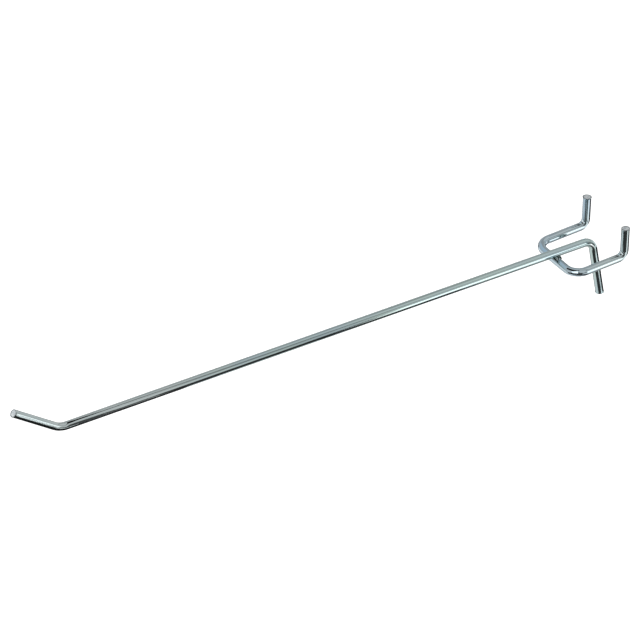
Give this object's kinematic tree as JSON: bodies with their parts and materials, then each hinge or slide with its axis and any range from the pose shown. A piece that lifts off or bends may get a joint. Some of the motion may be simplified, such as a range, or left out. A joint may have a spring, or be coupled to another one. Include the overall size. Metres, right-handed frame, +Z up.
{
  "type": "pegboard hook",
  "caption": "Single-arm wire hook for pegboard: a two-prong wire with a long arm welded across it, an upturned tip and a bracing leg.",
  "frame": {"origin": "midway between the two prongs, on the middle of the wire where they turn up from the level sides", "axes": "+Z up along the prongs, +Y towards and through the board, -Y along the arm to its tip, +X across the prongs"},
  "size_m": [0.0286, 0.2736, 0.0519],
  "materials": {
    "plated_wire": "bright plated cold-drawn steel wire, cool grey, with fine draw lines",
    "weld_metal": "rough squeezed-out weld metal, plated over"
  },
  "bodies": {
    "root": {"prong_wire": "plated_wire", "arm_wire": "plated_wire", "weld": "weld_metal"}
  },
  "joints": []
}
